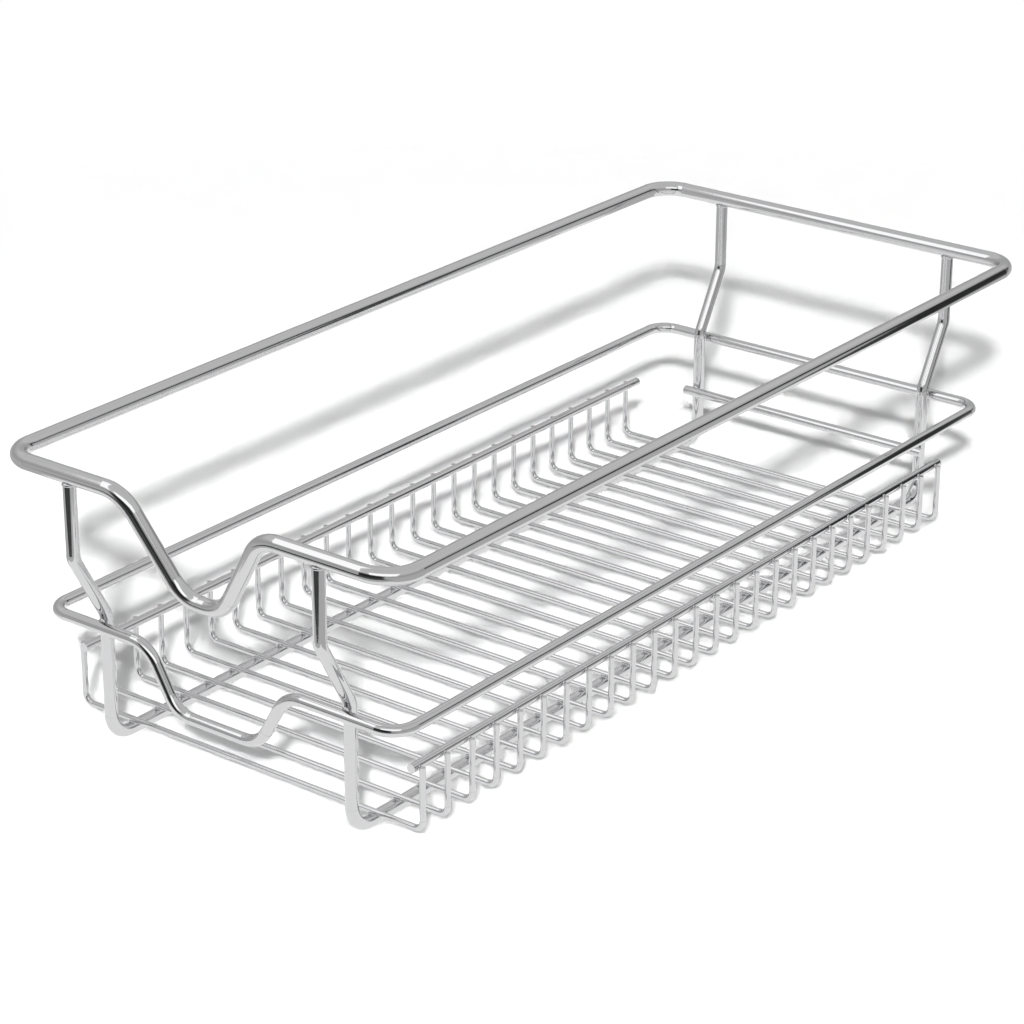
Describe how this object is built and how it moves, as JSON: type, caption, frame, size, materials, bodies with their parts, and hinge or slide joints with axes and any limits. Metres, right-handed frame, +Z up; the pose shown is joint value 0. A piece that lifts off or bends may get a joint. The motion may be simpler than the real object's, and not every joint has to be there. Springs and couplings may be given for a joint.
{
  "type": "pull-out wire basket",
  "caption": "Shallow rectangular chrome wire basket for a narrow cabinet, with a thick rim, a hand scoop in its front bar, a lower guard frame and a closely spaced cross-wire floor.",
  "frame": {"origin": "middle of the basket's footprint, on the surface that its two bottom bars stand on", "axes": "+Y along the depth to the rear, the hand scoop at -Y, +X to the right seen from the front, +Z up"},
  "size_m": [0.21, 0.467, 0.129],
  "materials": {
    "chrome_wire": "bright chrome plate"
  },
  "bodies": {
    "root": {"top_frame": "chrome_wire", "mid_frame": "chrome_wire", "left_stirrup": "chrome_wire", "right_stirrup": "chrome_wire", "left_side_rail": "chrome_wire", "right_side_rail": "chrome_wire", "rear_tie_bar": "chrome_wire", "floor_wire_01": "chrome_wire", "floor_wire_02": "chrome_wire", "floor_wire_03": "chrome_wire", "floor_wire_04": "chrome_wire", "floor_wire_05": "chrome_wire", "floor_wire_06": "chrome_wire", "floor_wire_07": "chrome_wire", "floor_wire_08": "chrome_wire", "floor_wire_09": "chrome_wire", "floor_wire_10": "chrome_wire", "floor_wire_11": "chrome_wire", "floor_wire_12": "chrome_wire", "floor_wire_13": "chrome_wire", "floor_wire_14": "chrome_wire", "floor_wire_15": "chrome_wire", "floor_wire_16": "chrome_wire", "floor_wire_17": "chrome_wire", "floor_wire_18": "chrome_wire", "floor_wire_19": "chrome_wire", "floor_wire_20": "chrome_wire", "floor_wire_21": "chrome_wire", "floor_wire_22": "chrome_wire", "floor_wire_23": "chrome_wire", "floor_wire_24": "chrome_wire", "floor_wire_25": "chrome_wire", "floor_wire_26": "chrome_wire"}
  },
  "joints": []
}
